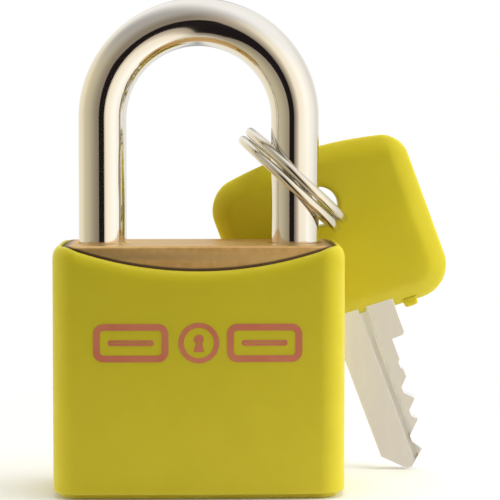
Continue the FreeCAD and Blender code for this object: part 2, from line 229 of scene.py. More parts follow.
class Graph:
    """Adds nodes to one node tree and links them."""

    def __init__(self, tree: NodeTree) -> None:
        """Keeps the tree and empties it."""
        self.tree = tree
        tree.nodes.clear()

    def add(self, kind: str, inputs: dict | None = None, **settings: object) -> Node:
        """Adds a node.

        Args:
            kind: the node's type name, less ShaderNode at its start.
            inputs: a value or a socket for each input, by name or number.
            settings: attributes of the node.

        Returns:
            The node.
        """
        node = self.tree.nodes.new(kind if kind.startswith("Node") else f"ShaderNode{kind}")
        for name, value in settings.items():
            setattr(node, name, value)
        for key, value in (inputs or {}).items():
            if isinstance(value, NodeSocket):
                self.tree.links.new(value, node.inputs[key])
            else:
                node.inputs[key].default_value = value
        return node

    def math(self, operation: str, *values: object) -> NodeSocket:
        """The result of a math node on one, two or three values."""
        return self.add("Math", dict(enumerate(values)), operation=operation).outputs[0]

    def span(self, value: object, low: float, high: float, to_low: float = 0.0, to_high: float = 1.0,
             smooth: bool = True) -> NodeSocket:
        """Carries a value from one range to another.

        Args:
            value: the value or its socket.
            low, high: the range that it comes from.
            to_low, to_high: the range that it goes to.
            smooth: whether it eases in and out.

        Returns:
            The socket of the result.
        """
        inputs = {"Value": value, "From Min": low, "From Max": high, "To Min": to_low, "To Max": to_high}
        kind = "SMOOTHSTEP" if smooth else "LINEAR"
        return self.add("MapRange", inputs, interpolation_type=kind).outputs["Result"]

    def blend(self, share: object, first: object, second: object) -> NodeSocket:
        """Mixes two colours by a share of the second."""
        return self.add("Mix", {0: share, 6: first, 7: second}, data_type="RGBA").outputs[2]

    def noise(self, place: NodeSocket, scale: object, detail: float) -> NodeSocket:
        """A noise value about one half at a place."""
        inputs = {"Vector": place, "Scale": scale, "Detail": detail}
        return self.add("TexNoise", inputs).outputs["Fac"]


class Effect(Enum):
    """The effects that several finishes share."""

    MOULDED_GRAIN = "moulded_grain"
    DRAWN_LINES = "drawn_lines"
    EDGE_WEAR = "edge_wear"
    SETTLED_DUST = "settled_dust"
    # painted shade: darkens the metal just above the cover's lip, where the gap lies in shadow
    LIP_PAINTED_SHADE = "lip_painted_shade"


class EffectLibrary:
    """Builds each shared effect's node group once."""

    def __init__(self) -> None:
        """Makes all the groups."""
        self.groups = {
            Effect.MOULDED_GRAIN: self._moulded_grain(),
            Effect.DRAWN_LINES: self._drawn_lines(),
            Effect.EDGE_WEAR: self._edge_wear(),
            Effect.SETTLED_DUST: self._settled_dust(),
            Effect.LIP_PAINTED_SHADE: self._lip_painted_shade(),
        }

    @staticmethod
    def _begin(effect: Effect, inputs: dict[str, object], outputs: Sequence[str]) -> tuple[Graph, Node]:
        """Makes an empty group with its sockets.

        Args:
            effect: the effect, whose value names the group.
            inputs: the name and default of each input but the place.
            outputs: the names of the number outputs.

        Returns:
            The graph and its input node.
        """
        tree = bpy.data.node_groups.new(effect.value, "ShaderNodeTree")
        tree.interface.new_socket(name="Vector", in_out="INPUT", socket_type="NodeSocketVector")
        for name, default in inputs.items():
            kind = "NodeSocketVector" if isinstance(default, tuple) else "NodeSocketFloat"
            socket = tree.interface.new_socket(name=name, in_out="INPUT", socket_type=kind)
            socket.default_value = default
        for name in outputs:
            tree.interface.new_socket(name=name, in_out="OUTPUT", socket_type="NodeSocketFloat")
        graph = Graph(tree)
        return graph, graph.add("NodeGroupInput")

    def _moulded_grain(self) -> NodeTree:
        """Fine pits of a spark-eroded mould over slow clouds in the plastic."""
        graph, given = self._begin(Effect.MOULDED_GRAIN, {"Scale": 3000.0}, ["Height", "Cloud"])
        place, scale = given.outputs["Vector"], given.outputs["Scale"]
        fine = graph.noise(place, scale, 3.0)
        coarse = graph.noise(place, graph.math("MULTIPLY", scale, 0.23), 2.0)
        shares = graph.math("MULTIPLY", fine, 0.65), graph.math("MULTIPLY", coarse, 0.35)
        height = graph.math("ADD", *shares)
        cloud = graph.noise(place, graph.math("MULTIPLY", scale, 0.055), 3.0)
        graph.add("NodeGroupOutput", {"Height": height, "Cloud": graph.span(cloud, 0.3, 0.7)})
        return graph.tree

    def _drawn_lines(self) -> NodeTree:
        """Lines left by drawing or brushing: noise stretched by a factor along each axis."""
        start = {"Stretch": (1.0, 1.0, 1.0)}
        graph, given = self._begin(Effect.DRAWN_LINES, start, ["Height", "Streak"])
        sides = {0: given.outputs["Vector"], 1: given.outputs["Stretch"]}
        place = graph.add("VectorMath", sides, operation="MULTIPLY").outputs[0]
        lines = graph.noise(place, 1.0, 4.0)
        broad = graph.noise(place, 0.17, 2.0)
        graph.add("NodeGroupOutput", {"Height": lines, "Streak": graph.span(broad, 0.32, 0.68)})
        return graph.tree

    def _edge_wear(self) -> NodeTree:
        """A mask on convex edges, broken up by noise."""
        graph, given = self._begin(Effect.EDGE_WEAR, {"Scale": 900.0, "Amount": 0.5}, ["Mask"])
        convex = graph.span(graph.add("NewGeometry").outputs["Pointiness"], 0.52, 0.62)
        patches = graph.span(graph.noise(given.outputs["Vector"], given.outputs["Scale"], 4.0), 0.35, 0.65)
        both = graph.math("MULTIPLY", convex, patches)
        graph.add("NodeGroupOutput", {"Mask": graph.math("MULTIPLY", both, given.outputs["Amount"])})
        return graph.tree

    def _settled_dust(self) -> NodeTree:
        """A mask where a face looks up, broken up by noise."""
        graph, given = self._begin(Effect.SETTLED_DUST, {"Scale": 700.0, "Amount": 0.3}, ["Mask"])
        normal = graph.add("NewGeometry").outputs["Normal"]
        up = graph.span(graph.add("SeparateXYZ", {0: normal}).outputs[2], 0.5, 1.0)
        specks = graph.span(graph.noise(given.outputs["Vector"], given.outputs["Scale"], 5.0), 0.4, 0.75)
        both = graph.math("MULTIPLY", up, specks)
        graph.add("NodeGroupOutput", {"Mask": graph.math("MULTIPLY", both, given.outputs["Amount"])})
        return graph.tree

    def _lip_painted_shade(self) -> NodeTree:
        """A mask of painted shade on the metal just above the cover's lip, standing in for the shadowed
        gap under the lip.

        The lip stands at top - (drop + sqrt(drop squared + ease)) / 2, where drop is how far the scoop's
        arc lies under the top: scoop - radius + sqrt(radius squared - x squared).
        """
        cover = Cover()
        radius = (cover.body_half**2 + cover.scoop**2) / (2 * cover.scoop) * MM
        graph, given = self._begin(Effect.LIP_PAINTED_SHADE, {"Reach": 0.0004}, ["Mask"])
        parts = graph.add("SeparateXYZ", {0: given.outputs["Vector"]}).outputs
        squared = graph.math("MULTIPLY", parts[0], parts[0])
        chord = graph.math("SQRT", graph.math("SUBTRACT", radius**2, squared))
        drop = graph.math("ADD", chord, cover.scoop * MM - radius)
        eased = graph.math("SQRT", graph.math("MULTIPLY_ADD", drop, drop, cover.lip_ease * MM**2))
        lip = graph.math("MULTIPLY_ADD", graph.math("ADD", drop, eased), -0.5, cover.top * MM)
        above = graph.math("SUBTRACT", parts[2], lip)
        share = graph.math("DIVIDE", above, given.outputs["Reach"])
        graph.add("NodeGroupOutput", {"Mask": graph.span(share, 0.45, 1.0, 0.9, 0.0)})
        return graph.tree


class Space(Enum):
    """What a finish's pattern is laid out in."""

    OBJECT = "object"
    ROD = "rod"


PLASTIC_DUST = tint(205, 203, 190)
METAL_DUST = tint(180, 176, 165)
# the colour of the shade painted on the brass along the cover's lip
PAINTED_SHADE = tint(84, 70, 74)


class Finish:
    """What every finish shares: a material with one Principled shader and a few shared effects."""

    def begin(self, name: str, effects: EffectLibrary, space: Space = Space.OBJECT) -> None:
        """Starts a material.

        Args:
            name: the material's name.
            effects: the shared node groups.
            space: what the pattern is laid out in.
        """
        self.made = bpy.data.materials.new(name)
        self.made.use_nodes = True
        self.graph = Graph(self.made.node_tree)
        self.effects = effects
        if space is Space.ROD:
            self.place = self.graph.add("Attribute", attribute_name="rod").outputs["Vector"]
        else:
            self.place = self.graph.add("TexCoord").outputs["Object"]

    def effect(self, which: Effect, inputs: dict[str, object]) -> Node:
        """Places a shared effect in the material with its own values."""
        given = {"Vector": self.place, **inputs}
        return self.graph.add("Group", given, node_tree=self.effects.groups[which])

    def end(self, shader: dict[str, object], height: NodeSocket, depth: float) -> Material:
        """Finishes a material with a bump and the Principled shader.

        Args:
            shader: the shader's inputs.
            height: the bump's height from 0 to 1.
            depth: the bump's depth in metres.

        Returns:
            The material.
        """
        bump = self.graph.add("Bump", {"Strength": 1.0, "Distance": depth, "Height": height})
        shader["Normal"] = bump.outputs["Normal"]
        principled = self.graph.add("BsdfPrincipled", shader)
        self.graph.add("OutputMaterial", {"Surface": principled.outputs[0]})
        return self.made


@dataclass(frozen=True)
class MouldedPlastic:
    """A satin moulded plastic: clouds in its colour, a fine grain, rubbed edges and a little dust."""

    name: str
    colour: Colour
    deep_colour: Colour
    rubbed_colour: Colour
    roughness: float
    grain_scale: float
    grain_depth: float

    def material(self, effects: EffectLibrary) -> Material:
        """Builds the material.

        Args:
            effects: the shared node groups.

        Returns:
            The material.
        """
        work = Finish()
        work.begin(self.name, effects)
        graph = work.graph
        grain = work.effect(Effect.MOULDED_GRAIN, {"Scale": self.grain_scale})
        wear = work.effect(Effect.EDGE_WEAR, {"Scale": 1400.0, "Amount": 0.35})
        dust = work.effect(Effect.SETTLED_DUST, {"Scale": 1500.0, "Amount": 0.06})
        body = graph.blend(grain.outputs["Cloud"], self.deep_colour, self.colour)
        worn = graph.blend(wear.outputs["Mask"], body, self.rubbed_colour)
        dusty = graph.blend(dust.outputs["Mask"], worn, PLASTIC_DUST)
        rough = graph.span(grain.outputs["Cloud"], 0.0, 1.0, self.roughness + 0.05, self.roughness - 0.04)
        shader = {"Base Color": dusty, "Roughness": rough, "IOR": 1.5, "Specular IOR Level": 0.42,
                  "Sheen Weight": 0.06, "Sheen Roughness": 0.5, "Subsurface Weight": 0.4,
                  "Subsurface Radius": (1.0, 0.85, 0.12), "Subsurface Scale": 0.0014}
        return work.end(shader, grain.outputs["Height"], self.grain_depth)


@dataclass(frozen=True)
class WorkedMetal:
    """A bare or plated metal with the lines that its making left on it."""

    name: str
    colour: Colour
    streak_colour: Colour
    worn_colour: Colour
    roughness: float
    roughness_spread: float
    stretch: Triple
    line_depth: float
    wear: float = 0.3
    space: Space = Space.OBJECT
    # whether shade is painted on the metal just above the cover's lip
    lip_painted_shade: bool = False

    def material(self, effects: EffectLibrary) -> Material:
        """Builds the material.

        Args:
            effects: the shared node groups.

        Returns:
            The material.
        """
        work = Finish()
        work.begin(self.name, effects, self.space)
        graph = work.graph
        lines = work.effect(Effect.DRAWN_LINES, {"Stretch": self.stretch})
        wear = work.effect(Effect.EDGE_WEAR, {"Scale": 1100.0, "Amount": self.wear})
        dust = work.effect(Effect.SETTLED_DUST, {"Scale": 1300.0, "Amount": 0.05})
        metal = graph.blend(lines.outputs["Streak"], self.streak_colour, self.colour)
        worn = graph.blend(wear.outputs["Mask"], metal, self.worn_colour)
        shade = graph.blend(dust.outputs["Mask"], worn, METAL_DUST)
        # painted shade: the metal is darkened just above the cover's lip, where the gap lies in shadow
        if self.lip_painted_shade:
            painted_shade = work.effect(Effect.LIP_PAINTED_SHADE, {"Reach": 0.0005})
            shade = graph.blend(painted_shade.outputs["Mask"], shade, PAINTED_SHADE)
        even = graph.span(lines.outputs["Streak"], 0.0, 1.0, self.roughness + self.roughness_spread,
                          self.roughness)
        rough = graph.math("ADD", even, graph.math("MULTIPLY", dust.outputs["Mask"], 0.5))
        shader = {"Base Color": shade, "Metallic": 1.0, "Roughness": rough}
        return work.end(shader, lines.outputs["Height"], self.line_depth)


@dataclass(frozen=True)
class PrintedInk:
    """A thin opaque ink printed on plastic, a little uneven."""

    name: str
    colour: Colour
    thin_colour: Colour

    def material(self, effects: EffectLibrary) -> Material:
        """Builds the material.

        Args:
            effects: the shared node groups.

        Returns:
            The material.
        """
        work = Finish()
        work.begin(self.name, effects)
        grain = work.effect(Effect.MOULDED_GRAIN, {"Scale": 5200.0})
        colour = work.graph.blend(grain.outputs["Cloud"], self.thin_colour, self.colour)
        rough = work.graph.span(grain.outputs["Cloud"], 0.0, 1.0, 0.55, 0.45)
        shader = {"Base Color": colour, "Roughness": rough, "Specular IOR Level": 0.35}
        return work.end(shader, grain.outputs["Height"], 0.000004)


class Finishes:
    """Every finish of the padlock."""

    def __init__(self) -> None:
        """Builds the shared effects and the materials."""
        effects = EffectLibrary()
        self.cover = MouldedPlastic(
            "cover_yellow", tint(224, 208, 38), tint(221, 205, 36), tint(233, 222, 80),
            0.46, 3600.0, 0.000006,
        ).material(effects)
        self.key_plastic = MouldedPlastic(
            "key_yellow", tint(222, 207, 38), tint(219, 204, 36), tint(232, 221, 78),
            0.40, 4200.0, 0.000005,
        ).material(effects)
        self.shackle = WorkedMetal(
            "shackle_plate", tint(228, 226, 223), tint(219, 216, 211), tint(236, 235, 232), 0.055, 0.04,
            (3600.0, 3600.0, 110.0), 0.0000006, 0.2, Space.ROD,
        ).material(effects)
        self.ring = WorkedMetal(
            "ring_plate", tint(230, 227, 219), tint(208, 202, 190), tint(240, 238, 232), 0.08, 0.07,
            (4200.0, 4200.0, 260.0), 0.0000008, 0.3, Space.ROD,
        ).material(effects)
        self.blade = WorkedMetal(
            "blade_nickel", tint(251, 252, 255), tint(241, 243, 248), tint(252, 252, 255), 0.33, 0.10,
            (2600.0, 2600.0, 420.0), 0.000002, 0.3,
        ).material(effects)
        # the body's brass carries the painted shade along the cover's lip
        self.brass = WorkedMetal(
            "brushed_brass", tint(241, 205, 144), tint(220, 179, 116), tint(244, 216, 164), 0.38, 0.12,
            (160.0, 5200.0, 5200.0), 0.0000035, 0.35, lip_painted_shade=True,
        ).material(effects)
        self.turned_brass = WorkedMetal(
            "turned_brass", tint(220, 180, 112), tint(200, 158, 92), tint(236, 204, 146), 0.24, 0.10,
            (900.0, 900.0, 6000.0), 0.000002, 0.3,
        ).material(effects)
        self.steel = WorkedMetal(
            "ground_steel", tint(222, 216, 205), tint(190, 186, 180), tint(238, 236, 232), 0.24, 0.12,
            (5200.0, 5200.0, 900.0), 0.0000015, 0.3,
        ).material(effects)
        self.spring = WorkedMetal(
            "spring_wire", tint(206, 203, 198), tint(170, 166, 160), tint(232, 230, 226), 0.28, 0.12,
            (3000.0, 3000.0, 3000.0), 0.000001, 0.3,
        ).material(effects)
        self.ink = PrintedInk("copper_ink", tint(214, 120, 92), tint(219, 133, 98)).material(effects)


# ---- cover


@dataclass
class Cover:
    """The plastic cover: a scooped cup round the brass body, with a window for the key underneath."""

    half_width: float = 18.9
    half_depth: float = 8.4
    corner: float = 3.3
    top: float = 32.5
    body_half: float = 17.5
    scoop: float = 3.2
    crown: float = 0.28
    side_crown: float = 0.002
    wall: float = 1.12
    lip_run: float = 0.98
    lip_fall: float = 1.7
    small_round: float = 0.2
    floor: float = 1.4
    lip_ease: float = 0.12
    foot: float = 0.62
    foot_inset: float = 0.85
    edge_round: float = 0.3
    window: Triple = (6.5, 5.3, 3.0)
    rim: float = 0.25

    @staticmethod
    def rounded_rectangle(half_x: float, half_y: float, corner: float) -> Array:
        """Points round a rectangle whose corners are quarter circles, the same count on every rectangle.

        Args:
            half_x, half_y: half the sides.
            corner: the corners' radius.

        Returns:
            N x 2 points, anticlockwise.
        """
        turn = np.linspace(0, math.pi / 2, 20, endpoint=False)
        flat_x, flat_y = half_x - corner, half_y - corner
        sides = []
        runs = [(0, 1, 26), (-1, 0, 96), (0, -1, 26), (1, 0, 96)]
        for quarter, (run_x, run_y, count) in enumerate(runs):
            start = quarter * math.pi / 2
            t = np.linspace(-1, 1, count, endpoint=False)
            out_x, out_y = round(math.cos(start)), round(math.sin(start))
            x = out_x * half_x + run_x * t * flat_x
            y = out_y * half_y + run_y * t * flat_y
            sides.append(joined(x, y))
            middle = np.array([(out_x + run_x) * flat_x, (out_y + run_y) * flat_y])
            arc = joined(np.cos(start + turn), np.sin(start + turn))
            sides.append(middle + corner * arc)
        return np.concatenate(sides)

    def front_depth(self, x: Array) -> Array:
        """How far the crowned front face stands from the middle plane: it falls with the square of x."""
        return self.half_depth * (1 - self.crown / self.half_depth * (x / self.half_width) ** 2)

    def section(self) -> Array:
        """The outer section: a rounded rectangle with slightly crowned faces."""
        ring = self.rounded_rectangle(self.half_width, self.half_depth, self.corner)
        x, y = ring[:, 0], ring[:, 1]
        bowed = x * (1 - self.side_crown * (y / self.half_depth) ** 2)
        return joined(bowed, y * self.front_depth(x) / self.half_depth)

    @staticmethod
    def inset(ring: Array, depth: float) -> Array:
        """Moves each point of a closed curve inwards along its normal."""
        along = np.roll(ring, -1, 0) - np.roll(ring, 1, 0)
        along /= np.linalg.norm(along, axis=1, keepdims=True)
        return ring + depth * joined(-along[:, 1], along[:, 0])

    def lip_height(self, x: Array) -> Array:
        """Height of the lip: level at the sides, and an arc across the scoop with an eased start.

        Args:
            x: places across the body.

        Returns:
            The heights.
        """
        radius = (self.body_half**2 + self.scoop**2) / (2 * self.scoop)
        arc = self.top - self.scoop + radius - np.sqrt(radius**2 - x**2)
        drop = self.top - arc
        return self.top - 0.5 * (drop + np.sqrt(drop**2 + self.lip_ease))

    def build(self, material: Material) -> None:
        """Carries the cup's profile round its section: floor, inner wall, lip, outer wall, base, window.

        Args:
            material: the cover's finish.
        """
        outer = self.section()
        inner = self.inset(outer, self.wall)
        lip = self.lip_height(outer[:, 0])
        level = np.ones(len(outer))
        hole = self.rounded_rectangle(*self.window)
        half_x, half_y, corner = self.window
        hole_rim = self.rounded_rectangle(half_x + self.rim, half_y + self.rim, corner + self.rim)
        rows: list[tuple[Array, Array]] = []
        for t in np.linspace(0, 1, 8):
            rows.append(((1 - t) * hole_rim + t * inner, level * self.floor))
        for t in np.linspace(0.02, 1, 14):
            rows.append((inner, self.floor + (lip - self.small_round - self.floor) * t))
        for turn in np.linspace(0.3, math.pi / 2, 4):
            depth = self.lip_run + (self.wall - self.lip_run) * math.cos(turn)
            rows.append((self.inset(outer, depth), lip - self.small_round * (1 - math.sin(turn))))
        for turn in np.linspace(0.08, math.pi / 2, 14):
            depth = self.lip_run * (1 - math.sin(turn))
            rows.append((self.inset(outer, depth), lip - self.lip_fall * (1 - math.cos(turn))))
        high = lip - self.lip_fall
        for t in np.linspace(0.04, 1, 22):
            rows.append((outer, high + (self.foot + self.edge_round - high) * t))
        for turn in np.linspace(0.25, math.pi / 2, 6):
            depth = self.edge_round * (1 - math.cos(turn))
            height = self.foot + self.edge_round * (1 - math.sin(turn))
            rows.append((self.inset(outer, depth), level * height))
        step = self.inset(outer, self.foot_inset)
        rows += [(step, level * self.foot), (step, level * self.small_round)]
        base = self.inset(outer, self.foot_inset + self.small_round)
        rows.append((base, level * 0.0))
        for t in np.linspace(0.12, 1, 7):
            rows.append(((1 - t) * base + t * hole_rim, level * 0.0))
        rows.append((hole, level * self.rim))
        rows.append((hole, level * (self.floor - self.rim)))
        grid = np.stack([np.column_stack([curve, height]) for curve, height in rows])
        Shell.ring(grid).piece("cover_shell", "lock", "cover_plastic", material, 50.0, ["cover"])


@dataclass
class FrontMark:
    """A plain keyhole sign between pairs of bars, printed on the cover's front."""

    cover: Cover
    material: Material
    middle_z: float = 20.2
    ink: float = 0.02
    lift: float = 0.012
    ring_radii: Pair = (1.95, 2.6)
    keyhole_radii: Pair = (0.12, 0.62)
    frames: tuple[tuple[str, float, float], ...] = (("left", -13.5, -3.9), ("right", 3.6, 13.2))
    frame_half: Pair = (1.6, 2.45)
    frame_corners: Pair = (0.5, 1.3)
    frame_wall: float = 0.85
    bar_insets: Pair = (2.2, 1.9)
    bar_half: Pair = (0.04, 0.36)
    bar_corners: Pair = (0.02, 0.3)

    def film(self, outline_in: Array, outline_out: Array) -> Shell:
        """A thin band of ink between two outlines on the front face, closed all round.

        Args:
            outline_in, outline_out: N x 2 places, across and up, with matching points.

        Returns:
            The closed film.
        """
        steps = np.linspace(0, 1, 4)[:, None, None]
        sheet = (1 - steps) * outline_in[None] + steps * outline_out[None]
        face = -self.cover.front_depth(sheet[..., 0])
        near = joined(sheet[..., 0], face - self.lift - self.ink, sheet[..., 1])
        far = joined(sheet[..., 0], face - self.lift + self.ink, sheet[..., 1])
        return Shell.ring(np.concatenate([near, far[::-1]]))

    def frame_outline(self, x0: float, x1: float, half: float, corner: float) -> Array:
        """A rounded rectangle between two sides, about the sign's height."""
        z0, z1 = self.middle_z - half, self.middle_z + half
        ring = Cover.rounded_rectangle((x1 - x0) / 2, (z1 - z0) / 2, corner)
        return ring + np.array([(x0 + x1) / 2, (z0 + z1) / 2])

    def keyhole_outline(self, size: float) -> Array:
        """A round hole over a widening slot: the farther of the two shapes' edges in each direction.

        Args:
            size: the round part's radius.

        Returns:
            N x 2 places.
        """
        turn = full_turn(240)
        low = -2.6 * size
        across, down = np.cos(turn), np.sin(turn)
        slope = 0.26
        side = 0.42 * size / np.maximum(np.abs(across) + slope * down, 1e-3)
        foot = low / np.minimum(down, -1e-3)
        slot = np.where(down < -0.05, np.minimum(side, foot), 0.0)
        reach = np.maximum(size, slot)
        return joined(reach * across, reach * down + 0.75 * size)

    def build(self) -> None:
        """Prints the sign: a ring, a keyhole, and a frame with a bar in it on each side."""
        turn = full_turn(120)
        circle = joined(np.cos(turn), np.sin(turn))
        shift = np.array([0.0, self.middle_z])
        ring = [circle * radius + shift for radius in self.ring_radii]
        keyhole = [self.keyhole_outline(radius) + shift for radius in self.keyhole_radii]
        shells = {"mark_ring": self.film(*ring), "mark_keyhole": self.film(*keyhole)}
        for name, x0, x1 in self.frames:
            frame_insets = (self.frame_wall, 0.0)
            for kind, insets, halves, corners in (
                ("frame", frame_insets, self.frame_half, self.frame_corners),
                ("bar", self.bar_insets, self.bar_half, self.bar_corners),
            ):
                outlines = [self.frame_outline(x0 + inset, x1 - inset, half, corner)
                            for inset, half, corner in zip(insets, halves, corners)]
                shells[f"mark_{kind}_{name}"] = self.film(*outlines)
        for name, shell in shells.items():
            shell.piece(name, "lock", "cover_plastic", self.material)


# ---- shackle and ring


@dataclass
class Shackle:
    """The bent rod: two legs joined by a half ring, with latch notches and a swivel neck."""

    material: Material
    radius: float = 3.15
    leg: float = 12.65
    arch: float = 48.8
    long_end: float = 6.2
    short_end: float = 21.5
    notch: float = 1.2
    latch: Pair = (24.2, 28.2)
    flat: Pair = (8.25, 21.25)
    neck_top: float = 9.85
    sides: int = 96

    def stations(self) -> Array:
        """Rows along the rod: distance, the round section's radius, and how far off its flat lies."""
        full, cut = self.radius, self.radius - self.notch
        far, step = 99.0, 0.02
        z, r, d = [], [], []

        def run(z0: float, z1: float, count: int, r0: float, r1: float, flat: float) -> None:
            """Adds evenly spaced rows whose radius goes from r0 to r1."""
            z.extend(np.linspace(z0, z1, count))
            r.extend(np.linspace(r0, r1, count))
            d.extend([flat] * count)

        run(self.long_end, self.long_end + 0.4, 3, full - 0.4, full, far)
        run(self.long_end + 0.5, self.flat[0], 4, full, full, far)
        run(self.flat[0] + step, self.neck_top, 4, cut, cut, far)
        run(self.neck_top + step, self.flat[1], 12, full, full, cut)
        run(self.flat[1] + step, self.latch[0], 4, full, full, far)
        run(self.latch[0] + step, self.latch[1], 6, full, full, cut)
        run(self.latch[1] + step, self.arch, 22, full, full, far)
        bend = math.pi * self.leg
        run(self.arch + bend / 160, self.arch + bend, 160, full, full, far)
        top = self.arch + bend
        run(top + 1, top + self.arch - self.latch[1] - step, 22, full, full, far)
        run(top + self.arch - self.latch[1], top + self.arch - self.latch[0] - step, 6, full, full, cut)
        end = top + self.arch - self.short_end
        run(top + self.arch - self.latch[0], end - 0.7, 4, full, full, far)
        run(end - 0.6, end, 4, full - 0.1, full - 0.7, far)
        return np.array([z, r, d])

    def build(self) -> None:
        """Carries the section along the bent path.

        The section's radius is the smaller of the round radius and the flat's distance over the cosine
        of the angle from the loop's inner side. The path is two straight runs joined by a half circle.
        """
        s, full, flat = self.stations()
        bend = math.pi * self.leg
        turn = np.clip((s - self.arch) / self.leg, 0, math.pi)
        beyond = np.maximum(s - self.arch - bend, 0)
        straight = np.minimum(s, self.arch)
        inner = joined(np.cos(turn), np.zeros_like(turn), -np.sin(turn))
        middle = joined(-self.leg * np.cos(turn), np.zeros_like(turn),
                           straight + self.leg * np.sin(turn) - beyond)
        angle = full_turn(self.sides)
        cosine = np.cos(angle)[None]
        reach = np.where(cosine > 0.02, flat[:, None] / np.maximum(cosine, 0.02), 99.0)
        radius = np.minimum(full[:, None], reach)
        side = np.array([0.0, 1.0, 0.0])
        rows = (middle[:, None] + (radius * cosine)[..., None] * inner[:, None]
                + (radius * np.sin(angle))[..., None] * side)
        rod = joined(radius * cosine, radius * np.sin(angle), np.repeat(s[:, None], self.sides, 1))
        shell = Shell.tube(rows, rod)
        shell.piece("shackle_rod", "shackle", "shackle_steel", self.material, 28.0, ["shackle"])


@dataclass
class SplitRing:
    """Two left-handed turns of round wire, tilted, whose ends lie behind the leg."""

    material: Material
    wire: float = 0.62
    radius: float = 8.5
    pitch: float = 1.45
    behind: float = 4.5
    height: float = 40.6
    tilt: float = 40.6
    leg: float = 12.65
    rows: int = 420
    sides: int = 24

    def build(self) -> None:
        """Carries a circle along the helix, and rounds both ends like half a ball."""
        tilt = math.radians(self.tilt)
        across = np.array([math.cos(tilt), 0.0, -math.sin(tilt)])
        depth = np.array([0.0, 1.0, 0.0])
        axis = np.array([math.sin(tilt), 0.0, math.cos(tilt)])
        length = 4 * math.pi * self.radius
        cap = self.wire * (1 - np.cos(np.linspace(0.12, math.pi / 2, 8)))
        past_cap = self.wire * 1.2
        run = np.linspace(past_cap, length - past_cap, self.rows)
        s = np.concatenate([cap, run, length - cap[::-1]])
        from_end = np.minimum(s, length - s)
        thick = np.sqrt(self.wire**2 - np.maximum(self.wire - from_end, 0) ** 2)
        t = s / (math.tau * self.radius)
        angle = (math.pi / 2 + math.tau * t)[:, None]
        outward = np.cos(angle) * across + np.sin(angle) * depth
        centre = np.array([self.leg, self.behind, self.height])
        middle = centre + self.radius * outward + (self.pitch * (1 - t))[:, None] * axis
        tangent = np.gradient(middle, s, axis=0)
        tangent /= np.linalg.norm(tangent, axis=1, keepdims=True)
        up = np.cross(tangent, outward)
        phi = full_turn(self.sides)
        ring = np.cos(phi)[None, :, None] * outward[:, None] + np.sin(phi)[None, :, None] * up[:, None]
        rows = middle[:, None] + thick[:, None, None] * ring
        rod = joined(thick[:, None] * np.cos(phi), thick[:, None] * np.sin(phi),
                        np.repeat(s[:, None], self.sides, 1))
        shell = Shell.tube(rows, rod)
        shell.piece("split_ring_wire", "ring", "ring_nickel", self.material, 60.0, ["split_ring"])


# ---- key


@dataclass
class KeyHang:
    """Where the key hangs: its hole on the ring, and how far it leans."""

    lean_side: float = -20.6
    lean_front: float = 3.0

    def place(self) -> Matrix:
        """The placement of the key's own frame, in millimetres, with the hole from the record's joint."""
        swing = next(j for j in frame["joints"] if j["name"] == "key_swing")
        hole = Vector(swing["pos_m"]) / MM
        turn = Matrix.Rotation(math.radians(self.lean_side), 4, "Y")
        return Matrix.Translation(hole) @ turn @ Matrix.Rotation(math.radians(self.lean_front), 4, "X")


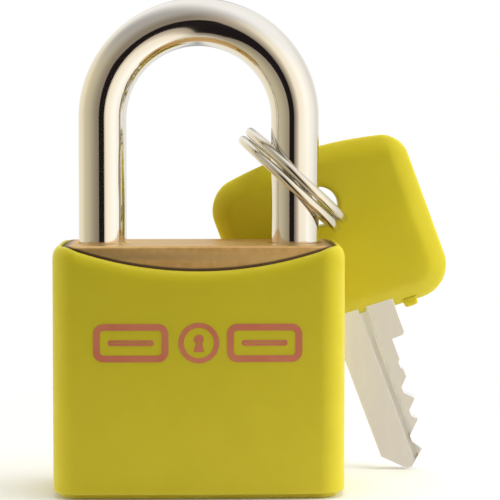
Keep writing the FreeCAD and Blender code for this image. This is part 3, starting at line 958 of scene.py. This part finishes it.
@dataclass
class KeyBow:
    """The key's plastic head: a pillow with a crowned top, and the ring's hole through it."""

    place: Matrix
    material: Material
    half_width: float = 14.1
    crown_top: float = 8.0
    crown_x: float = -2.7
    crown_bend: float = 0.0092
    base: float = -16.55
    base_slope: float = -0.05
    middle: float = -4.5
    corners: tuple[float, float, float, float] = (4.6, 5.0, 2.8, 3.8)
    half_thick: float = 1.3
    pad_rise: float = 0.33
    edge_run: float = 2.6
    edge_power: float = 0.8
    hole: float = 2.7
    flare: float = 0.5
    directions: int = 400
    gate_x: float = 7.4
    gate_section: Triple = (0.95, 0.62, 0.25)
    gate_rows: tuple[Pair, ...] = (
        (-16.4, 1.0), (-16.9, 1.0), (-17.35, 0.97), (-17.5, 0.88), (-17.58, 0.7))

    def __post_init__(self) -> None:
        """Lays out the directions from the hole in which each row's points lie."""
        turn = full_turn(self.directions)
        self.across, self.upward = np.cos(turn), np.sin(turn)

    def edge_distance(self, x: Array, z: Array) -> Array:
        """Signed distance to the outline, less than zero inside.

        The distance past the nearer side and past the crowned top or the base are joined by a quarter
        circle at each corner.

        Args:
            x, z: places in the key's own frame.

        Returns:
            The distances.
        """
        high = z > self.middle
        right = x > 0
        low_left, low_right, high_right, high_left = self.corners
        upper, lower = np.where(right, high_right, high_left), np.where(right, low_right, low_left)
        corner = np.where(high, upper, lower)
        side = np.abs(x) - self.half_width
        top = z - (self.crown_top - self.crown_bend * (x - self.crown_x) ** 2)
        end = np.where(high, top, self.base + self.base_slope * x - z)
        round_part = np.hypot(np.maximum(side + corner, 0), np.maximum(end + corner, 0))
        return round_part + np.minimum(np.maximum(side, end) + corner, 0) - corner

    def reach(self, depth: float) -> Array:
        """Distance from the hole's centre to the curve a depth inside the outline, by halving.

        Args:
            depth: how far inside.

        Returns:
            One distance for each direction.
        """
        low, high = np.zeros(self.directions), np.full(self.directions, 40.0)
        for _ in range(40):
            middle = (low + high) / 2
            outside = self.edge_distance(middle * self.across, middle * self.upward) > -depth
            high, low = np.where(outside, middle, high), np.where(outside, low, middle)
        return (low + high) / 2

    def thickness(self, x: Array, z: Array) -> Array:
        """Half the thickness: thin round the hole, and thicker over the lower two thirds."""
        pad = np.clip((-1.5 - z) / 4.5, 0, 1)
        inside = np.clip(-self.edge_distance(x, z) / 4.0, 0, 1)
        ease = (pad * pad * (3 - 2 * pad)) * (inside * inside * (3 - 2 * inside))
        return self.half_thick + self.pad_rise * ease

    def build(self) -> None:
        """Lays rows from the hole's middle over the front face to the rim, and back over the back face.

        Near the rim the height is (1 - (1 - distance / run) to the power 1.5), to the edge's power.
        """
        rows: list[tuple[Array, Array]] = []

        def half(reach: Array) -> Array:
            """Half the thickness along one row."""
            return self.thickness(reach * self.across, reach * self.upward)

        even = np.ones(self.directions)
        for share in (0.3, 0.9):
            rows.append((even * self.hole, (half(even * self.hole) - self.flare) * share))
        for angle in np.linspace(0.15, math.pi / 2, 7):
            reach = even * (self.hole + self.flare * (1 - math.cos(angle)))
            rows.append((reach, half(reach) - self.flare * (1 - math.sin(angle))))
        start = even * (self.hole + self.flare)
        shoulder = self.reach(self.edge_run)
        for share in np.linspace(0.06, 1, 22):
            reach = start + (shoulder - start) * share
            rows.append((reach, half(reach)))
        for root in np.linspace(0.94, 0, 18):
            reach = self.reach(self.edge_run * root**2)
            rows.append((reach, half(reach) * (1 - (1 - root**2) ** 1.5) ** self.edge_power))
        front = np.stack([joined(r * self.across, -h, r * self.upward) for r, h in rows])
        back = front[:-1][::-1] * np.array([1.0, -1.0, 1.0])
        shell = Shell.ring(np.concatenate([front, back])).placed(self.place)
        shell.piece("key_head", "key", "key_plastic", self.material, 60.0, ["key_bow"])
        self.gate_tab()

    def gate_tab(self) -> None:
        """The tab that the mould's gate left under the head: a rounded block pinched at its foot."""
        x, y = Cover.rounded_rectangle(*self.gate_section).T
        rows = np.stack([joined(self.gate_x + x * grow, y * grow, np.full(len(x), z))
                         for z, grow in self.gate_rows])
        shell = Shell.tube(rows).placed(self.place)
        shell.piece("key_gate_tab", "key", "key_plastic", self.material, 50.0)


@dataclass
class KeyBlade:
    """The nickel blade: cut edge on +X, a stop shoulder, and a groove down each face."""

    place: Matrix
    material: Material
    back: float = -3.95
    width: float = 7.2
    half_thick: float = 0.95
    root: float = -17.45
    stop_drop: float = 3.4
    length: float = 17.9
    shoulder: float = 1.9
    depths: tuple[float, ...] = (0.3, 1.1, 1.2, 2.35)
    first_cut: float = 3.8
    cut_pitch: float = 3.45
    cut_flat: float = 0.9
    groove: float = 0.5
    front_groove: tuple[float, ...] = (0.15, 0.17, 1.0, 1.35)
    back_groove: tuple[float, ...] = (-0.4, -0.42, -1.25, -1.6)
    bevel: float = 0.1
    tip_rises: Pair = (0.15, 2.8)
    in_head: float = 4.0
    row_step: float = 0.45

    def cut_edge(self) -> tuple[Array, Array]:
        """Heights down the cut edge and its x there: flats at each depth, joined by 45 degree ramps.

        Returns:
            Falling heights and the edge's x at each.
        """
        stop = self.root - self.stop_drop
        edge = self.back + self.width
        z = [self.root + self.in_head, stop + 0.35, stop, stop - 0.02]
        x = [edge + self.shoulder, edge + self.shoulder, edge + 1.55, edge]
        last_flat, last_depth = None, 0.0
        for index, depth in enumerate(self.depths):
            middle = self.first_cut + index * self.cut_pitch
            start, end = middle - self.cut_flat / 2, middle + self.cut_flat / 2
            if last_flat is not None:
                peak = max(0.0, (last_depth + depth - (start - last_flat)) / 2)
                z.append(stop - (last_flat + last_depth - peak))
                x.append(edge - peak)
            else:
                peak = 0.0
            if peak == 0.0:
                z.append(stop - (start - depth))
                x.append(edge)
            z.extend([stop - start, stop - end])
            x.extend([edge - depth, edge - depth])
            last_flat, last_depth = end, depth
        tip = stop - self.length
        z.extend([tip + 1.9, tip])
        x.extend([edge - 1.4, self.back + 3.6])
        return np.array(z), np.array(x)

    def back_edge(self, z: Array) -> Array:
        """The straight back's x at each height, sloped near the tip."""
        tip = self.root - self.stop_drop - self.length
        low, high = self.tip_rises
        heights = [tip, tip + low, tip + high, 0.0]
        places = [self.back + 2.75, self.back + 2.6, self.back, self.back]
        return np.interp(z, heights, places)

    def build(self) -> None:
        """Stacks level sections: two faces with a groove each, narrow bevels, and the two edges."""
        knee_z, knee_x = self.cut_edge()
        tip = self.root - self.stop_drop - self.length
        even = np.arange(tip, self.root + self.in_head, self.row_step)
        knees = [tip + rise for rise in self.tip_rises]
        z = np.unique(np.concatenate([knee_z, even, knees]))[::-1]
        front_x = np.interp(z, knee_z[::-1], knee_x[::-1])
        back_x = self.back_edge(z)
        h, b = self.half_thick, self.bevel
        groove_y = np.array([-h, -h + self.groove, -h + self.groove * 0.9, -h])
        low, high = (back_x + b + 0.01)[:, None], (front_x - b - 0.01)[:, None]
        fade = np.clip((high - low - 0.9) / 1.2, 0, 1)

        def face(places: Sequence[float], levels: Array, side: float) -> tuple[Array, Array]:
            """One face's groove, kept between the bevels and faded where the blade gets narrow."""
            x = np.clip(np.array(places)[None], low, high)
            y = side * h + (levels[None] - side * h) * fade
            return x, y

        front_groove = face(self.front_groove, groove_y, -1.0)
        back_groove = face(self.back_groove, -groove_y, 1.0)
        ones = np.ones_like(z)[:, None]
        back, front = back_x[:, None], front_x[:, None]
        x = np.concatenate([back + b, front_groove[0], front - b, front, front, front - b,
                            back_groove[0], back + b, back, back], axis=1)
        near, far = (b - h) * ones, (h - b) * ones
        y = np.concatenate([-h * ones, front_groove[1], -h * ones, near, far, h * ones,
                            back_groove[1], h * ones, far, near], axis=1)
        rows = joined(x, y, np.repeat(z[:, None], x.shape[1], 1))
        shell = Shell.tube(rows).placed(self.place)
        shell.piece("key_blade_metal", "key", "key_nickel", self.material, 22.0, ["key_blade"])


# ---- the brass lock and what it holds


@dataclass(frozen=True)
class Mechanism:
    """The brass body and the pieces inside it, which keep their CAD shapes."""

    finishes: Finishes

    def dress(self) -> None:
        """Gives each carried-over node its finish: turned brass, where no other is named."""
        wears = {
            "lock_body": self.finishes.brass,
            "latch": self.finishes.steel,
            "plug_retaining_pin": self.finishes.steel,
            "shackle_retaining_pin": self.finishes.steel,
            "shackle_spring": self.finishes.spring,
            "pin_spring": self.finishes.spring,
        }
        for name, node in frame["nodes"].items():
            if node.hide_render:
                continue
            named = [wears[stem] for stem in wears if name.startswith(stem)]
            finish = named[0] if named else self.finishes.turned_brass
            for material_slot in node.material_slots:
                material_slot.material = finish
            LOG.info("%s: dressed as %s", name, finish.name)


# ---- studio


@dataclass
class Studio:
    """A white light tent that is dimmer in front, a dark card, a pale floor, and the camera itself."""

    camera_place: Triple = (0.000622, -0.247311, 0.049642)
    yaw: float = 1.385
    pitch: float = 2.675
    lens: float = 135.35
    shift: Pair = (0.002, -0.1)
    walls: tuple[tuple[int, Triple], ...] = (
        (-180, (0.50, 0.50, 0.50)), (-171, (1.05, 1.02, 0.93)), (-113, (1.03, 0.92, 0.66)),
        (-89, (0.76, 0.66, 0.45)), (-58, (0.59, 0.53, 0.36)), (-27, (0.36, 0.30, 0.22)),
        (-2, (0.30, 0.25, 0.19)), (9, (0.66, 0.56, 0.42)), (20, (1.2, 1.08, 0.86)),
        (60, (1.35, 1.30, 1.16)), (120, (0.98, 0.94, 0.86)), (165, (1.0, 0.98, 0.92)),
        (179, (0.50, 0.50, 0.50)))
    roof_rise: Pair = (18, 50)
    ground_rise: Pair = (-78, -58)
    roof_left: Colour = (0.50, 0.47, 0.43, 1.0)
    roof_right: Colour = (1.15, 1.13, 1.09, 1.0)
    ground: Colour = (0.80, 0.74, 0.62, 1.0)
    roof_lean: float = 0.8
    roof_blend: Pair = (-0.75, 0.25)
    soft: Colour = (1.0, 0.985, 0.95, 1.0)
    soft_fade: tuple[float, ...] = (0.07, 0.60, 1.02, 0.08)
    soft_lean: float = 0.06
    white: Colour = (1.0, 1.0, 1.0, 1.0)
    paper: Colour = (0.93, 0.93, 0.92, 1.0)
    card_tone: Colour = (0.016, 0.012, 0.012, 1.0)
    card_x: Pair = (-0.035, 0.004)
    card_y: float = -0.086
    card_z: Pair = (-0.06, 0.071)
    lamps: tuple[tuple[str, Triple, float, float], ...] = (
        ("right_lamp", (0.13, -0.026, 0.05), 0.08, 0.086),
        ("left_lamp", (-0.14, -0.03, 0.05), 0.08, 0.036),
        ("roof_lamp", (0.05, -0.02, 0.30), 0.16, 0.30))
    aim: Triple = (0.0, 0.0, 0.03)
    floor_radius: float = 0.55
    floor_z: float = -0.00005
    floor_rings: int = 12
    floor_sides: int = 96
    floor_fade: Pair = (0.024, 0.10)
    floor_glow: float = 0.35
    page_glow: float = 0.65

    def camera(self) -> None:
        """Adds the camera, nearly level and a little to the right."""
        data = bpy.data.cameras.new("camera")
        data.sensor_width = 36.0
        data.lens = self.lens
        data.shift_x, data.shift_y = self.shift
        data.clip_start = 0.01
        data.clip_end = 10.0
        item = linked("camera", data)
        item.location = self.camera_place
        item.rotation_euler = (math.radians(90 - self.pitch), 0.0, math.radians(-self.yaw))
        bpy.context.scene.camera = item

    def tent(self) -> None:
        """Lights the scene from all round, by azimuth and elevation.

        The azimuth is measured from the front towards +X. The walls are grey on the left, and
        creamy white on the right and behind; the roof is white and the ground pale. Matt surfaces get
        a softer light that fades towards the front, where the camera stands.
        """
        world = bpy.data.worlds.new("tent")
        bpy.context.scene.world = world
        world.use_nodes = True
        graph = Graph(world.node_tree)
        direction = graph.add("TexCoord").outputs["Generated"]
        parts = graph.add("SeparateXYZ", {0: direction}).outputs
        azimuth = graph.math("ARCTAN2", parts[0], graph.math("MULTIPLY", parts[1], -1.0))
        share = graph.math("MULTIPLY_ADD", azimuth, 0.5 / math.pi, 0.5)
        ramp = graph.add("ValToRGB", {0: share})
        elements = ramp.color_ramp.elements
        while len(elements) < len(self.walls):
            elements.new(0.5)
        for element, (degrees, colour) in zip(elements, self.walls):
            element.position = degrees / 360 + 0.5
            element.color = (*colour, 1.0)
        rise = graph.math("ARCSINE", parts[2])
        roof = graph.span(rise, *map(math.radians, self.roof_rise))
        ground = graph.span(rise, *map(math.radians, self.ground_rise), 1.0, 0.0)
        lean = graph.math("MULTIPLY_ADD", parts[1], self.roof_lean, parts[0])
        roof_tone = graph.blend(graph.span(lean, *self.roof_blend), self.roof_left, self.roof_right)
        walls = graph.blend(roof, ramp.outputs[0], roof_tone)
        around = graph.blend(ground, walls, self.ground)
        tent = graph.add("Background", {"Color": around, "Strength": 1.0})
        front = graph.math("MULTIPLY", parts[1], -1.0)
        fade = graph.span(front, *self.soft_fade)
        level = graph.math("MULTIPLY_ADD", parts[0], self.soft_lean, fade)
        soft = graph.add("Background", {"Color": self.soft, "Strength": level})
        page = graph.add("Background", {"Color": self.white, "Strength": 1.0})
        ray = graph.add("LightPath").outputs
        shares = {0: ray["Is Diffuse Ray"], 1: tent.outputs[0], 2: soft.outputs[0]}
        lit = graph.add("MixShader", shares)
        shares = {0: ray["Is Camera Ray"], 1: lit.outputs[0], 2: page.outputs[0]}
        both = graph.add("MixShader", shares)
        graph.add("OutputWorld", {"Surface": both.outputs[0]})
        world.cycles.sampling_method = "NONE"

    def card(self) -> None:
        """Stands a narrow dark card before the lock, seen only in the metal's reflections."""
        (left, right), y, (low, high) = self.card_x, self.card_y, self.card_z
        corners = [(left, y, low), (right, y, low), (right, y, high), (left, y, high)]
        mesh = bpy.data.meshes.new("dark_card")
        mesh.from_pydata(corners, [], [(0, 1, 2, 3)])
        mesh.update()
        item = linked("dark_card", mesh)
        item.visible_camera = False
        item.visible_diffuse = False
        item.visible_shadow = False
        item.visible_transmission = False
        material = bpy.data.materials.new("dark_card")
        material.use_nodes = True
        graph = Graph(material.node_tree)
        dark = graph.add("Emission", {"Color": self.card_tone, "Strength": 1.0})
        graph.add("OutputMaterial", {"Surface": dark.outputs[0]})
        mesh.materials.append(material)

    def lamp(self, name: str, place: Triple, size: float, power: float) -> None:
        """Adds a soft square lamp aimed at the lock.

        Args:
            name: the lamp's name.
            place: where it stands, in metres.
            size: its side.
            power: its power in watts.
        """
        data = bpy.data.lights.new(name, "AREA")
        data.size = size
        data.energy = power
        item = linked(name, data)
        item.location = place
        aim = Vector(self.aim) - Vector(place)
        item.rotation_euler = aim.to_track_quat("-Z", "Y").to_euler()
        item.visible_glossy = False

    def floor(self) -> None:
        """Lays a pale disc that melts into the white page away from the lock."""
        rings, sides = self.floor_rings, self.floor_sides
        turn = full_turn(sides)
        reach = np.linspace(0.02, 1, rings)[:, None] * self.floor_radius
        rows = joined(reach * np.cos(turn), reach * np.sin(turn), np.full((rings, sides), self.floor_z))
        points = np.concatenate([rows.reshape(-1, 3), [[0.0, 0.0, self.floor_z]]])
        fan = [[i, (i + 1) % sides, rings * sides] for i in range(sides)]
        mesh = bpy.data.meshes.new("floor")
        quads = grid_quads(rings, sides, False, True)[:, ::-1].tolist()
        mesh.from_pydata(points.tolist(), [], quads + fan)
        mesh.update()
        disc = linked("floor", mesh)
        disc.visible_glossy = False
        material = bpy.data.materials.new("pale_floor")
        material.use_nodes = True
        graph = Graph(material.node_tree)
        place = graph.add("TexCoord").outputs["Object"]
        away = graph.add("VectorMath", {0: place}, operation="LENGTH").outputs["Value"]
        fade = graph.span(away, *self.floor_fade)
        paper = graph.add("BsdfDiffuse", {"Color": self.paper})
        seen = graph.add("LightPath").outputs["Is Camera Ray"]
        strength = graph.math("MULTIPLY_ADD", seen, self.page_glow, self.floor_glow)
        glow = graph.add("Emission", {"Color": self.white, "Strength": strength})
        both = graph.add("MixShader", {0: fade, 1: paper.outputs[0], 2: glow.outputs[0]})
        graph.add("OutputMaterial", {"Surface": both.outputs[0]})
        mesh.materials.append(material)

    def build(self) -> None:
        """Sets up the camera, the light and the floor."""
        self.camera()
        self.tent()
        self.card()
        for name, place, size, power in self.lamps:
            self.lamp(name, place, size, power)
        self.floor()
        bpy.context.scene.view_settings.view_transform = "Standard"
        LOG.info("studio ready")


def main() -> None:
    """Builds the studio, the finishes and every piece in order."""
    logging.basicConfig(level=logging.INFO, format="%(name)s: %(message)s")
    Studio().build()
    finishes = Finishes()
    cover = Cover()
    cover.build(finishes.cover)
    FrontMark(cover, finishes.ink).build()
    Shackle(finishes.shackle).build()
    SplitRing(finishes.ring).build()
    place = KeyHang().place()
    KeyBow(place, finishes.key_plastic).build()
    KeyBlade(place, finishes.blade).build()
    Mechanism(finishes).dress()


if __name__ == "__main__":
    main()
